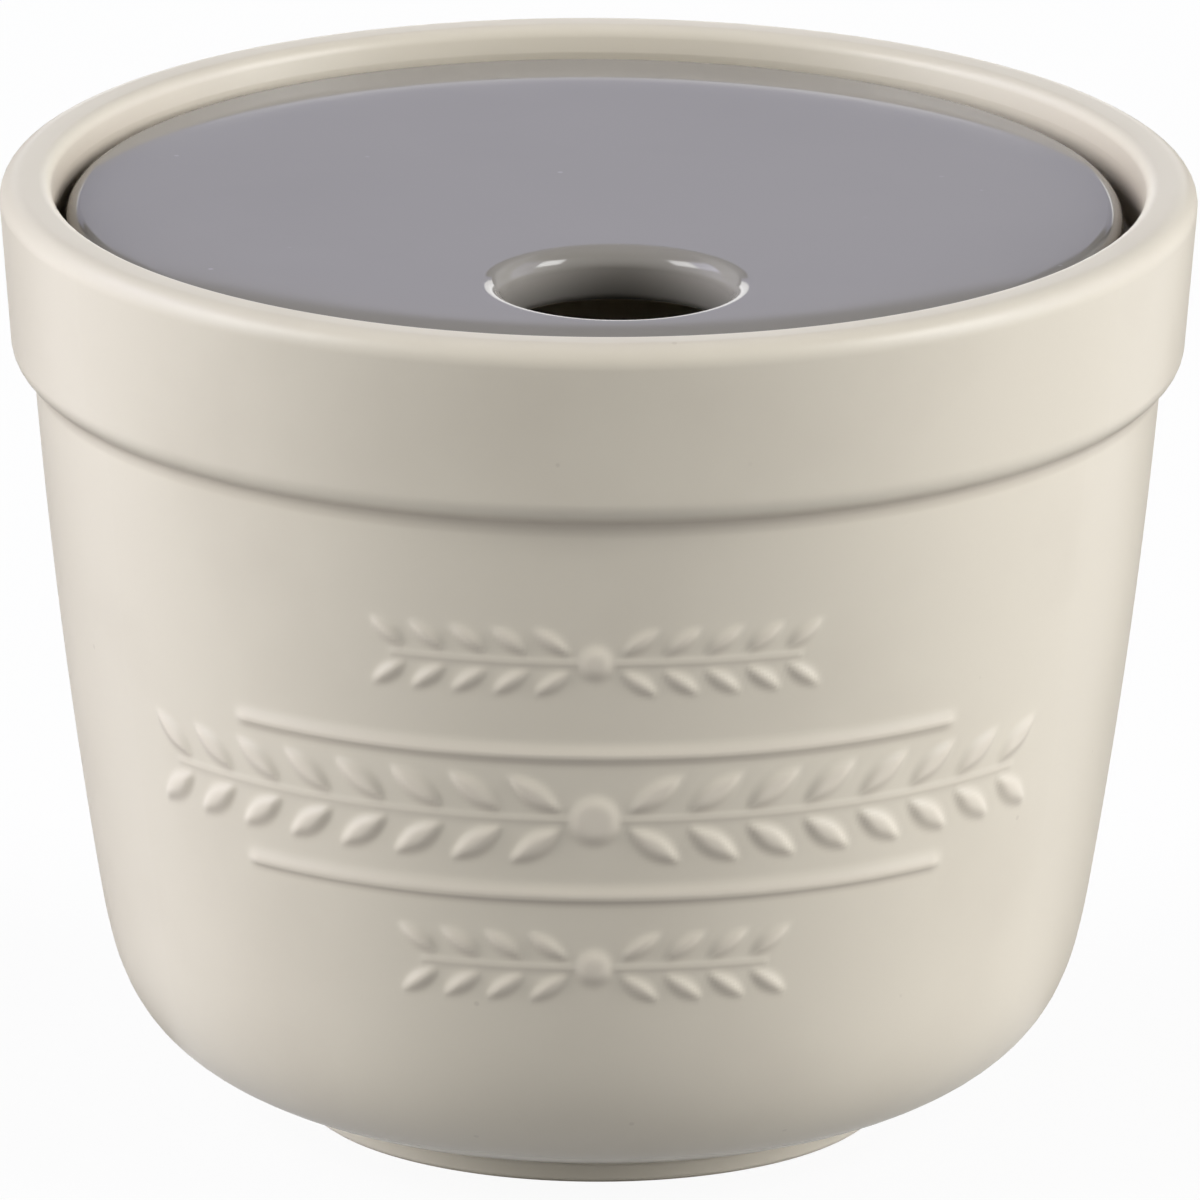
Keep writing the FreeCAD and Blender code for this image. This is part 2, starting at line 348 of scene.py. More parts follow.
def turned(corners, sectors):
    """A closed surface of revolution about Z. sectors lists (first angle, last angle, steps)."""
    chain = section(corners)
    whole = bmesh.new()
    scratch = bpy.data.meshes.new("sector")
    for first, last, steps in sectors:
        sector = chain.copy()
        bmesh.ops.rotate(
            sector, verts=sector.verts, cent=CENTRE, matrix=Matrix.Rotation(first, 3, "Z"),
        )
        bmesh.ops.spin(
            sector, geom=sector.verts[:] + sector.edges[:], cent=CENTRE, axis=UP,
            angle=last - first, steps=steps, use_merge=False, use_duplicate=False,
        )
        sector.to_mesh(scratch)
        whole.from_mesh(scratch)
        sector.free()
    chain.free()
    bpy.data.meshes.remove(scratch)
    bmesh.ops.remove_doubles(whole, verts=whole.verts, dist=0.001 * MM)
    bmesh.ops.recalc_face_normals(whole, faces=whole.faces)
    return whole


def finished(bm, name):
    """An object at the origin, smooth shaded, from a bmesh that holds its place."""
    mesh = bpy.data.meshes.new(name)
    bm.to_mesh(mesh)
    bm.free()
    mesh.polygons.foreach_set("use_smooth", [True] * len(mesh.polygons))
    piece = bpy.data.objects.new(name, mesh)
    shading = piece.modifiers.new("flats_stay_flat", "WEIGHTED_NORMAL")
    shading.keep_sharp = False
    bpy.context.scene.collection.objects.link(piece)
    return piece


# ---- Relief on the front of the wall ----

BEAD_SOFTNESS = 1.6          # width of a bead's soft edge, in soft edges of a stem
LEAF_SOFTNESS = 1.3          # and of a leaf's
COLLAR_ROOM = 1.5 * MM       # the relief stays this far below the collar
ON_WALL = 0.2 * MM           # points this near the wall's radius lie on it
NEAR_SHARE = 0.6             # of the painted shade, what lies close below a raised edge
RECESS_START = 0.3 * MM      # below the rim, where the painted shade in the recess starts
RECESS_GROWTH = 1.3 * MM     # and it's at its darkest this much lower


def smooth(inside, edge):
    """0 to 1 over the soft edge of a raised shape. inside is how deep a point lies in it."""
    t = np.clip(inside / edge, 0, 1)
    return t * t * (3 - 2 * t)


def stem_depth(along, up, half_length, half_width):
    """How deep each point lies inside a stem with round ends."""
    past = np.maximum(np.abs(along) - (half_length - half_width), 0)
    return half_width - np.hypot(past, up)


def bar_top(along, up, half_length, relief):
    """Height of a bar, 0 to 1: steep at its lower edge, a slow slope at its upper edge."""
    low = smooth(up + relief.bar_width / 2, relief.bar_lower_edge)
    high = smooth(relief.bar_width / 2 + relief.bar_upper_edge / 2 - up, relief.bar_upper_edge)
    end = smooth(half_length - np.abs(along), relief.bar_upper_edge)
    return low * high * end * relief.bar_rise


def leaf_depth(along, up, size, tilt):
    """How deep each point lies inside a pointed leaf, tilted from the horizontal."""
    half_length, half_width = size[0] / 2, size[1] / 2
    u = along * math.cos(tilt) + up * math.sin(tilt)
    v = up * math.cos(tilt) - along * math.sin(tilt)
    return half_width * (1 - (u / half_length) ** 2) - np.abs(v)


class Garland:
    """Pairs of leaves along a stem, mirrored about a round bead at the front. Its place is a share
    of the way from knee to collar, its half angle is in degrees and its lengths in millimetres."""

    def __init__(self, place, half_angle, leaf, width, pitch, bead):
        self.place = place
        self.half_angle = math.radians(half_angle)
        self.leaf = (leaf * MM, width * MM)
        self.pitch = pitch * MM
        self.bead = bead * MM

    def raised(self, shape, relief, turn, height):
        """Height of the relief, 0 to 1, at points given by turn from the front and height."""
        middle = shape.wall_height(self.place)
        radius = shape.wall_radius(middle)
        along = turn * radius
        up = height - middle
        run = self.leaf[0] * math.cos(relief.leaf_tilt)
        rise = self.leaf[0] * math.sin(relief.leaf_tilt) / 2
        rise += relief.stem_width / 2 + relief.leaf_clearance
        pairs = int((radius * self.half_angle - self.bead - run) / self.pitch) + 1
        last = self.bead + run / 2 + (pairs - 1) * self.pitch
        top = smooth(self.bead - np.hypot(along, up), BEAD_SOFTNESS * relief.edge)
        stem = stem_depth(along, up, last, relief.stem_width / 2)
        top = np.maximum(top, smooth(stem, relief.edge))
        for pair in range(pairs):
            away = np.abs(along) - (self.bead + run / 2 + pair * self.pitch)
            leaf_up = np.abs(up) - rise
            near = (np.abs(away) < self.leaf[0]) & (np.abs(leaf_up) < self.leaf[0])
            depth = leaf_depth(away[near], leaf_up[near], self.leaf, relief.leaf_tilt)
            top[near] = np.maximum(top[near], smooth(depth, LEAF_SOFTNESS * relief.edge))
        return top


GARLANDS = (
    Garland(place=0.722, half_angle=24.5, leaf=5.2, width=2.3, pitch=4.2, bead=2.2),
    Garland(place=0.402, half_angle=57.0, leaf=7.2, width=3.1, pitch=6.0, bead=3.0),
    Garland(place=0.100, half_angle=27.5, leaf=5.5, width=2.4, pitch=4.4, bead=2.3),
)


def relief_top(shape, relief, turn, height):
    """Height of the whole relief, 0 to 1, at points given by turn from the front and height."""
    top = np.zeros(len(height))
    for garland in GARLANDS:
        top = np.maximum(top, garland.raised(shape, relief, turn, height))
    for place in (relief.upper_bar_place, relief.lower_bar_place):
        middle = shape.wall_height(place)
        radius = shape.wall_radius(middle)
        half_length = radius * relief.bar_half_angle
        bar = bar_top(turn * radius, height - middle, half_length, relief)
        top = np.maximum(top, bar)
    return top


def points_of(mesh):
    """The mesh's points as rows, with the radius and the turn from the front of each."""
    co = np.empty(len(mesh.vertices) * 3)
    mesh.vertices.foreach_get("co", co)
    co = co.reshape(-1, 3)
    return co, np.hypot(co[:, 0], co[:, 1]), np.arctan2(co[:, 0], -co[:, 1])


def raise_relief(mesh, shape, relief):
    """Moves the wall's points out to the relief. Keeps its height, and the painted shade below its
    lower edges, as attributes."""
    co, radius, turn = points_of(mesh)
    height = co[:, 2]
    on_wall = (height > shape.sizes.knee_height) & (height < shape.collar_base - COLLAR_ROOM)
    on_wall &= np.abs(radius - shape.wall_radius(height)) < ON_WALL
    t, z = turn[on_wall], height[on_wall]
    raised = relief_top(shape, relief, t, z)
    # Painted shade: the relief moved down, less the relief itself, darkens the wall just below each
    # raised lower edge.
    near = relief_top(shape, relief, t, z + relief.shade_reach / 2) - raised
    far = relief_top(shape, relief, t, z + relief.shade_reach) - raised
    grow = 1 + raised * relief.height / radius[on_wall]
    co[on_wall, 0] *= grow
    co[on_wall, 1] *= grow
    mesh.vertices.foreach_set("co", co.ravel())
    painted_shade = NEAR_SHARE * np.clip(near, 0, 1) + (1 - NEAR_SHARE) * np.clip(far, 0, 1)
    for name, values in (("relief", raised), ("painted_shade", painted_shade)):
        kept = np.zeros(len(co), np.float32)
        kept[on_wall] = values
        mesh.attributes.new(name, "FLOAT", "POINT").data.foreach_set("value", kept)
    mesh.update()


def shade_recess_sides(mesh, shape, most):
    """Adds painted shade to the wall of the lid's recess. At the left and right it is the given share
    of the darkest, at the front and back there is none."""
    co, radius, turn = points_of(mesh)
    height = co[:, 2]
    inside = radius < shape.recess_radius + shape.sizes.rim_inner_round
    inside &= height > shape.ledge_top
    below = shape.sizes.height - RECESS_START - height
    amount = most * smooth(below, RECESS_GROWTH) * np.sin(turn) ** 4
    attribute = mesh.attributes["painted_shade"]
    painted_shade = np.empty(len(co), np.float32)
    attribute.data.foreach_get("value", painted_shade)
    painted_shade[inside] = amount[inside]
    attribute.data.foreach_set("value", painted_shade)


# ---- Lid ----

LID_SEGMENTS = 192
CROWN_CUTS = 24              # new points along each of the long edges across the lid
LONG_EDGE = 6 * MM           # only those edges are longer than this
LEVEL = 0.001 * MM           # ends of a level edge differ by less in height


def is_level(edge):
    return abs(edge.verts[0].co.z - edge.verts[1].co.z) < LEVEL


def lid_blank(s):
    """A plain disc with sharp edges, bored by the finger hole."""
    radius = (lid_high.y - lid_low.y) / 2
    bm = bmesh.new()
    bmesh.ops.create_circle(bm, segments=LID_SEGMENTS, radius=radius)
    hole = bmesh.ops.create_circle(bm, segments=LID_SEGMENTS, radius=s.hole_radius)["verts"]
    bmesh.ops.translate(bm, verts=hole, vec=(0, -s.hole_reach, 0))
    bmesh.ops.bridge_loops(bm, edges=bm.edges[:])
    bmesh.ops.translate(bm, verts=bm.verts, vec=(0, 0, lid_low.z))
    body = bmesh.ops.extrude_face_region(bm, geom=bm.faces[:], use_keep_orig=True)
    raised = [g for g in body["geom"] if isinstance(g, bmesh.types.BMVert)]
    bmesh.ops.translate(bm, verts=raised, vec=(0, 0, lid_high.z - lid_low.z))
    bmesh.ops.recalc_face_normals(bm, faces=bm.faces)
    return bm


def sharp_circle(bm, s, at_hole, upper):
    """The edges where the bore or the side meets the upper or the lower face."""
    half_way = (lid_low.z + lid_high.z) / 2
    hole_centre = Vector((0, -s.hole_reach))

    def on_it(vert):
        near_hole = (vert.co.xy - hole_centre).length < s.hole_radius + MM
        return near_hole == at_hole and (vert.co.z > half_way) == upper

    return [
        e for e in bm.edges
        if is_level(e) and all(on_it(v) for v in e.verts)
        and len({abs(f.normal.z) > 0.5 for f in e.link_faces}) == 2
    ]


def crown_top(bm, s):
    """Curves the lid's top down outside its level middle."""
    across = [e for e in bm.edges if is_level(e) and e.calc_length() > LONG_EDGE]
    bmesh.ops.subdivide_edges(bm, edges=across, cuts=CROWN_CUTS, use_grid_fill=True)
    thickness = lid_high.z - lid_low.z
    for vert in bm.verts:
        past_flat = max(vert.co.xy.length - s.flat_radius, 0)
        drop = s.crown_radius - math.sqrt(s.crown_radius ** 2 - past_flat ** 2)
        vert.co.z -= drop * (vert.co.z - lid_low.z) / thickness


def lid_mesh(s):
    """The bored disc, rounded and crowned, turned and moved to where it lies."""
    bm = lid_blank(s)
    roundings = (
        (False, True, s.edge_round, 8),
        (False, False, s.lower_round, 5),
        (True, True, s.hole_round, 12),
        (True, False, s.hole_lower_round, 5),
    )
    for at_hole, upper, rounding, steps in roundings:
        bmesh.ops.bevel(
            bm, geom=sharp_circle(bm, s, at_hole, upper), offset=rounding, offset_type="OFFSET",
            segments=steps, profile=0.5, affect="EDGES", material=-1, clamp_overlap=False,
        )
    crown_top(bm, s)
    bmesh.ops.rotate(bm, verts=bm.verts, cent=CENTRE, matrix=Matrix.Rotation(s.turn, 3, "Z"))
    middle = (lid_low + lid_high) / 2
    bmesh.ops.translate(bm, verts=bm.verts, vec=(middle.x, middle.y, 0))
    bmesh.ops.recalc_face_normals(bm, faces=bm.faces)
    return bm


# ---- Materials ----

class Nodes:
    """Adds and joins nodes in one tree."""

    def __init__(self, tree):
        self.tree = tree
        tree.nodes.clear()

    def add(self, kind, **values):
        node = self.tree.nodes.new(kind)
        for key, value in values.items():
            setattr(node, key, value)
        return node

    def join(self, source, target):
        self.tree.links.new(source, target)

    def math(self, operation, first, second):
        """A Math node. first and second are sockets or numbers."""
        node = self.add("ShaderNodeMath", operation=operation)
        for i, value in enumerate((first, second)):
            if isinstance(value, bpy.types.NodeSocket):
                self.join(value, node.inputs[i])
            else:
                node.inputs[i].default_value = value
        return node.outputs[0]

    def mix(self, factor, first, second):
        """A colour mix. factor, first and second are sockets or values."""
        node = self.add("ShaderNodeMix", data_type="RGBA")
        for key, value in (("Factor", factor), ("A", first), ("B", second)):
            socket = next(
                i for i in node.inputs
                if i.name == key and i.type == ("VALUE" if key == "Factor" else "RGBA")
            )
            if isinstance(value, bpy.types.NodeSocket):
                self.join(value, socket)
            else:
                socket.default_value = value
        return next(o for o in node.outputs if o.type == "RGBA")

    def ramp(self, source, low, high):
        """0 at low and 1 at high, straight between."""
        node = self.add("ShaderNodeMapRange")
        node.inputs["From Min"].default_value = low
        node.inputs["From Max"].default_value = high
        self.join(source, node.inputs["Value"])
        return node.outputs["Result"]


def opaque(rgb):
    return (*rgb, 1.0)


# Noise in the glaze: its scale per metre and its detail.
WAVES = (70.0, 1.0)
GRAIN = (420.0, 2.0)

# And where it makes a pattern, the values at which the pattern starts and is full.
CLOUDS = (28.0, 2.0, 0.35, 0.65)
PATCHES = (45.0, 3.0, 0.52, 0.75)
SMEARS = (60.0, 3.0, 0.3, 0.7)

SPECK_SCALE = 260.0          # cells per metre, of which a few hold a speck
SPECK_CHANCE = (0.93, 0.97)
SPECK_RADIUS = (0.09, 0.05)  # where a speck starts and is full, in cells

# Heights beside that of the waves. A speck lies in a pit.
GRAIN_HEIGHT = 0.06
PIT_HEIGHT = -0.4

THIN_SHARE = 0.6             # how much of the thin glaze's colour is on top of the relief
GROOVE_SHADE_SHARE = 0.65          # how much of the painted shade's colour is in the groove under the collar
GROOVE_LOW = (-1.5 * MM, -0.4 * MM)   # heights over which it sets in from below and from above,
GROOVE_HIGH = (1.3 * MM, 0.2 * MM)    # measured from the collar's underside

GREY_THIN = 1.12             # the grey glaze's lighter and darker clouds, beside its colour
GREY_POOLED = 0.9
GREY_HOLE_SHADE = 0.3              # and its colour as painted shade deep in the finger hole
HOLE_SHADE_SHARE = 0.7
DEEP_START = 2.2 * MM        # below the lid's top
DEEP_END = 0.5 * MM          # above its underside

BARE_ROUGHNESS = 0.8
BARE_HEIGHTS = (0.35 * MM, 0.2 * MM)  # above a wiped underside, where glaze ends and clay starts
FOOT_ROUGHNESS = 0.08
RUN_HEIGHTS = (1.5 * MM, 7.0 * MM)    # the glaze turns from glossy to satin between them


def glaze_group():
    """Fired glaze: soft clouding, pinholes and specks, and the slow waves of a poured coat."""
    tree = bpy.data.node_groups.new("fired_glaze", "ShaderNodeTree")
    for name, kind in (
        ("Glaze", "NodeSocketColor"), ("Thin", "NodeSocketColor"), ("Pooled", "NodeSocketColor"),
        ("Clouding", "NodeSocketFloat"), ("Specks", "NodeSocketFloat"),
        ("Speck Colour", "NodeSocketColor"),
    ):
        tree.interface.new_socket(name=name, in_out="INPUT", socket_type=kind)
    for name, kind in (
        ("Colour", "NodeSocketColor"), ("Roughness", "NodeSocketFloat"),
        ("Height", "NodeSocketFloat"),
    ):
        tree.interface.new_socket(name=name, in_out="OUTPUT", socket_type=kind)
    n = Nodes(tree)
    given = n.add("NodeGroupInput").outputs
    out = n.add("NodeGroupOutput").inputs
    place = n.add("ShaderNodeTexCoord").outputs["Object"]

    def noise(scale, detail):
        node = n.add("ShaderNodeTexNoise")
        node.inputs["Scale"].default_value = scale
        node.inputs["Detail"].default_value = detail
        node.inputs["Roughness"].default_value = 0.5
        n.join(place, node.inputs["Vector"])
        return node.outputs["Fac"]

    def pattern(scale, detail, start, full):
        return n.ramp(noise(scale, detail), start, full)

    clouds = n.math("MULTIPLY", given["Clouding"], pattern(*CLOUDS))
    lighter = n.mix(clouds, given["Glaze"], given["Thin"])
    patches = n.math("MULTIPLY", given["Clouding"], pattern(*PATCHES))
    clouded = n.mix(patches, lighter, given["Pooled"])

    dots = n.add("ShaderNodeTexVoronoi", feature="F1")
    dots.inputs["Scale"].default_value = SPECK_SCALE
    n.join(place, dots.inputs["Vector"])
    draw = n.add("ShaderNodeSeparateColor")
    n.join(dots.outputs["Color"], draw.inputs[0])
    chosen = n.ramp(draw.outputs[0], *SPECK_CHANCE)
    near = n.ramp(dots.outputs["Distance"], *SPECK_RADIUS)
    speck = n.math("MULTIPLY", n.math("MULTIPLY", chosen, near), given["Specks"])
    n.join(n.mix(speck, clouded, given["Speck Colour"]), out["Colour"])

    n.join(pattern(*SMEARS), out["Roughness"])
    grain = n.math("MULTIPLY", noise(*GRAIN), GRAIN_HEIGHT)
    pits = n.math("MULTIPLY", speck, PIT_HEIGHT)
    n.join(n.math("ADD", n.math("ADD", noise(*WAVES), grain), pits), out["Height"])
    return tree


def height_above_table(n):
    """A socket with each point's height."""
    place = n.add("ShaderNodeSeparateXYZ")
    n.join(n.add("ShaderNodeTexCoord").outputs["Object"], place.inputs[0])
    return place.outputs["Z"]


def glazed(name, group, colours, clouding, specks, speck_colour, gloss, wave):
    """A glazed material. colours are glaze, thin and pooled, gloss is (low, high) roughness, and
    wave is the height of its waves. The caller joins colour and roughness to the shader."""
    material = bpy.data.materials.new(name)
    material.use_nodes = True
    n = Nodes(material.node_tree)
    glaze = n.add("ShaderNodeGroup", node_tree=group)
    for key, rgb in zip(("Glaze", "Thin", "Pooled"), colours):
        glaze.inputs[key].default_value = opaque(rgb)
    glaze.inputs["Clouding"].default_value = clouding
    glaze.inputs["Specks"].default_value = specks
    glaze.inputs["Speck Colour"].default_value = opaque(speck_colour)
    shader = n.add("ShaderNodeBsdfPrincipled")
    shader.inputs["IOR"].default_value = 1.5
    out = n.add("ShaderNodeOutputMaterial")
    n.join(shader.outputs[0], out.inputs["Surface"])
    rough = n.add("ShaderNodeMapRange")
    rough.inputs["To Min"].default_value = gloss[0]
    rough.inputs["To Max"].default_value = gloss[1]
    n.join(glaze.outputs["Roughness"], rough.inputs["Value"])
    bump = n.add("ShaderNodeBump")
    bump.inputs["Strength"].default_value = 1.0
    bump.inputs["Distance"].default_value = wave
    n.join(glaze.outputs["Height"], bump.inputs["Height"])
    n.join(bump.outputs["Normal"], shader.inputs["Normal"])
    return material, n, glaze.outputs["Colour"], rough.outputs["Result"], shader


def cream_glaze(group, colours, groove):
    """The pot: satin cream glaze, glossy towards the foot, thin over the relief, with painted shade
    below the relief, under the collar and at the sides of the recess, and bare clay under the foot
    ring. groove is the height of the collar's underside."""
    material, n, base, rough, shader = glazed(
        "cream_glaze", group, (colours.cream, colours.cream_thin, colours.cream_pooled_and_shade),
        clouding=0.16, specks=0.35, speck_colour=colours.cream_pooled_and_shade,
        gloss=(0.34, 0.40), wave=0.04 * MM,
    )
    raised = n.add("ShaderNodeAttribute", attribute_name="relief").outputs["Fac"]
    over = n.mix(n.math("MULTIPLY", raised, THIN_SHARE), base, opaque(colours.cream_thin))
    # Painted shade: pooled is how much of the pooled colour goes on below the relief, at the recess's
    # sides and in the groove under the collar.
    painted_shade = n.add("ShaderNodeAttribute", attribute_name="painted_shade").outputs["Fac"]
    z = height_above_table(n)
    below = n.ramp(z, *(groove + height for height in GROOVE_LOW))
    above = n.ramp(z, *(groove + height for height in GROOVE_HIGH))
    groove_shade = n.math("MULTIPLY", n.math("MULTIPLY", below, above), GROOVE_SHADE_SHARE)
    pooled = n.math("MAXIMUM", painted_shade, groove_shade)
    glaze = n.mix(pooled, over, opaque(colours.cream_pooled_and_shade))
    bare = n.ramp(z, *BARE_HEIGHTS)
    n.join(n.mix(bare, glaze, opaque(colours.clay)), shader.inputs["Base Color"])
    run = n.math("MULTIPLY", rough, n.ramp(z, *RUN_HEIGHTS))
    glossy = n.math("MAXIMUM", run, FOOT_ROUGHNESS)
    clay = n.math("MULTIPLY", bare, BARE_ROUGHNESS)
    n.join(n.math("MAXIMUM", glossy, clay), shader.inputs["Roughness"])
    return material


def grey_glaze(group, colours):
    """The lid: glossy grey glaze, with painted shade down in the finger hole, wiped off the flat
    underside that lies on the ledge."""
    thin = [min(c * GREY_THIN, 1) for c in colours.grey]
    pooled = [c * GREY_POOLED for c in colours.grey]
    material, n, base, rough, shader = glazed(
        "grey_glaze", group, (colours.grey, thin, pooled),
        clouding=0.25, specks=0.5, speck_colour=(0.45, 0.44, 0.43),
        gloss=(0.045, 0.06), wave=0.003 * MM,
    )
    z = height_above_table(n)
    # Painted shade: darker towards the bottom of the finger hole.
    deep = n.ramp(z, lid_high.z - DEEP_START, lid_low.z + DEEP_END)
    dark = opaque([c * GREY_HOLE_SHADE for c in colours.grey])
    glaze = n.mix(n.math("MULTIPLY", deep, HOLE_SHADE_SHARE), base, dark)
    bare = n.ramp(z, *(lid_low.z + height for height in BARE_HEIGHTS))
    n.join(n.mix(bare, glaze, opaque(colours.clay)), shader.inputs["Base Color"])
    clay = n.math("MULTIPLY", bare, BARE_ROUGHNESS)
    n.join(n.math("MAXIMUM", rough, clay), shader.inputs["Roughness"])
    return material


def shared_glaze():
    """The one group that both glazes use."""
    return bpy.data.node_groups.get("fired_glaze") or glaze_group()


# ---- Studio ----

PAPER_BOUNCE = (0.3, 0.3, 0.3, 1.0)   # what the paper throws back on the pot
PAPER_WHITE = (0.9, 0.9, 0.9, 1.0)    # what is seen of it
GLOW_SEEN = 0.93             # share of an even glow in what the eye sees of the paper
GLOW_MIRRORED = 0.35         # and in what the glaze mirrors of it
FLOOR_HALF_WIDTH = 4.0


def floor_material():
    """Paper that looks white with a faint shadow, but throws little light back on the pot."""
    material = bpy.data.materials.new("studio_paper")
    material.use_nodes = True
    n = Nodes(material.node_tree)
    path = n.add("ShaderNodeLightPath").outputs
    mirrored = n.math("MAXIMUM", path["Is Glossy Ray"], path["Is Transmission Ray"])
    seen = n.math("MAXIMUM", path["Is Camera Ray"], mirrored)
    paper = n.add("ShaderNodeBsdfDiffuse")
    n.join(n.mix(seen, PAPER_BOUNCE, PAPER_WHITE), paper.inputs["Color"])
    glow = n.add("ShaderNodeEmission")
    glow.inputs["Strength"].default_value = 1.0
    mix = n.add("ShaderNodeMixShader")
    glow_seen = n.math("MULTIPLY", path["Is Camera Ray"], GLOW_SEEN)
    glow_mirrored = n.math("MULTIPLY", mirrored, GLOW_MIRRORED)
    n.join(n.math("ADD", glow_seen, glow_mirrored), mix.inputs[0])
    n.join(paper.outputs[0], mix.inputs[1])
    n.join(glow.outputs[0], mix.inputs[2])
    out = n.add("ShaderNodeOutputMaterial")
    n.join(mix.outputs[0], out.inputs["Surface"])
    return material


class Panel:
    """A patch of light in the world. Its angles are in degrees, azimuths turn from the front
    towards +X, and soft is the width of its edge. mirrored is its strength in what the glaze
    mirrors, where that isn't its strength."""

    def __init__(self, azimuth, half_width, low, high, strength,
                 mirrored=None, soft=6.0, cool=False):
        self.azimuth = math.radians(azimuth)
        self.half_width = math.radians(half_width)
        self.low = math.radians(low)
        self.high = math.radians(high)
        self.soft = math.radians(soft) / 2
        self.strength = strength
        self.mirrored = strength if mirrored is None else mirrored
        self.cool = cool


PANELS = (
    # Behind the pot, where the lid's top mirrors them.
    Panel(180, 18, -3, 14.2, 1.8, soft=0.6),
    Panel(180, 18, 14.2, 18.4, 0.5, soft=0.4, cool=True),
    Panel(180, 60, 20, 45, 0.26),
    # At the left and then the right, in front and behind.
    Panel(-75, 15, 0, 25, 7.7, mirrored=0.5),
    Panel(-75, 15, 25, 45, 7.7),
    Panel(-107.5, 17.5, 0, 25, 2.5, mirrored=0.5, cool=True),
    Panel(-107.5, 17.5, 25, 45, 2.5, cool=True),
    Panel(75, 15, 0, 25, 9.0, mirrored=0.5),
    Panel(75, 15, 25, 45, 9.0),
    Panel(107.5, 17.5, 0, 45, 0.9, cool=True),
    # All round: a glow that only the glaze mirrors, and a low band.
    Panel(0, 158, 2, 50, 0.0, mirrored=0.55),
    Panel(0, 190, -4, 2, 0.72, soft=1.0),
)
AMBIENT = 0.01               # strength of the world outside the panels
WHITE_LIGHT = (1.0, 1.0, 1.0, 1.0)
COOL_LIGHT = (0.95, 0.97, 1.27, 1.0)


def studio_world():
    """Light panels round a dim room, the cool ones a little blue."""
    world = bpy.context.scene.world or bpy.data.worlds.new("studio")
    bpy.context.scene.world = world
    world.use_nodes = True
    n = Nodes(world.node_tree)
    direction = n.add("ShaderNodeSeparateXYZ")
    n.join(n.add("ShaderNodeTexCoord").outputs["Generated"], direction.inputs[0])
    towards_front = n.math("MULTIPLY", direction.outputs["Y"], -1)
    azimuth = n.math("ARCTAN2", direction.outputs["X"], towards_front)
    elevation = n.math("ARCSINE", direction.outputs["Z"], 0)
    glossy = n.add("ShaderNodeLightPath").outputs["Is Glossy Ray"]
    light, cool = AMBIENT, 0.0
    for panel in PANELS:
        away = n.math("PINGPONG", n.math("SUBTRACT", azimuth, panel.azimuth), math.pi)
        soft = panel.soft
        inside = n.ramp(away, panel.half_width + soft, panel.half_width - soft)
        above = n.ramp(elevation, panel.low - soft, panel.low + soft)
        below = n.ramp(elevation, panel.high + soft, panel.high - soft)
        patch = n.math("MULTIPLY", n.math("MULTIPLY", inside, above), below)
        change = n.math("MULTIPLY", glossy, panel.mirrored - panel.strength)
        shine = n.math("MULTIPLY", patch, n.math("ADD", change, panel.strength))
        light = n.math("ADD", shine, light)
        if panel.cool:
            cool = n.math("ADD", shine, cool)
    tint = n.mix(n.math("DIVIDE", cool, light), WHITE_LIGHT, COOL_LIGHT)
    shader = n.add("ShaderNodeBackground")
    n.join(tint, shader.inputs["Color"])
    n.join(light, shader.inputs["Strength"])
    out = n.add("ShaderNodeOutputWorld")
    n.join(shader.outputs[0], out.inputs["Surface"])


CARD_NEAR = 45 * MM          # the card's flap lies on the floor from here
CARD_FAR = 75 * MM           # to here, where it is folded upright
CARD_LIFT = 0.2 * MM         # the flap's height above the floor
CARD_TOP = 105 * MM
CARD_DEPTH = 250 * MM        # from front to back
CARD_GREY = (0.08, 0.08, 0.08, 1.0)
CARD_EDGE_ON = (0.25, 0.4)   # the card shows only where it is seen more edge on than this


def dark_card(name, side, front):
    """A folded card beside the pot that only shows in the glaze, where it darkens the outline.
    side is -1 at the left and 1 at the right, and front is the place of its front edge."""
    near, far = side * CARD_NEAR, side * CARD_FAR
    bm = section(plain([at(near, CARD_LIFT), at(far, CARD_LIFT), at(far, CARD_TOP)]))
    bmesh.ops.translate(bm, verts=bm.verts, vec=(0, front, 0))
    back = bmesh.ops.extrude_edge_only(bm, edges=bm.edges[:])["geom"]
    moved = [g for g in back if isinstance(g, bmesh.types.BMVert)]
    bmesh.ops.translate(bm, verts=moved, vec=(0, CARD_DEPTH, 0))
    card = finished(bm, name)
    material = bpy.data.materials.new(name)
    material.use_nodes = True
    n = Nodes(material.node_tree)
    felt = n.add("ShaderNodeBsdfDiffuse")
    felt.inputs["Color"].default_value = CARD_GREY
    facing = n.add("ShaderNodeLayerWeight").outputs["Facing"]
    mix = n.add("ShaderNodeMixShader")
    n.join(n.ramp(facing, *CARD_EDGE_ON), mix.inputs[0])
    n.join(n.add("ShaderNodeBsdfTransparent").outputs[0], mix.inputs[1])
    n.join(felt.outputs[0], mix.inputs[2])
    n.join(mix.outputs[0], n.add("ShaderNodeOutputMaterial").inputs["Surface"])
    card.data.materials.append(material)
    card.visible_camera = False
    card.visible_diffuse = False
    card.visible_transmission = False
    card.visible_shadow = False


def add_camera(s):
    """Looks at the front from a little above, from far away."""
    data = bpy.data.cameras.new("camera")
    data.sensor_width = 36.0
    data.lens = data.sensor_width * s.distance / s.view_width
    data.clip_start = 0.1
    data.clip_end = 20.0
    camera = bpy.data.objects.new("camera", data)
    away = Vector((0, -math.cos(s.elevation), math.sin(s.elevation)))
    aim = Vector((s.aim_right, 0, s.aim_height))
    facing = away.to_track_quat("Z", "Y").to_matrix().to_4x4()
    camera.matrix_world = (
        Matrix.Translation(aim + away * s.distance) @ facing @ Matrix.Rotation(s.roll, 4, "Z")
    )
    bpy.context.scene.collection.objects.link(camera)
    bpy.context.scene.camera = camera


# ---- Operators ----

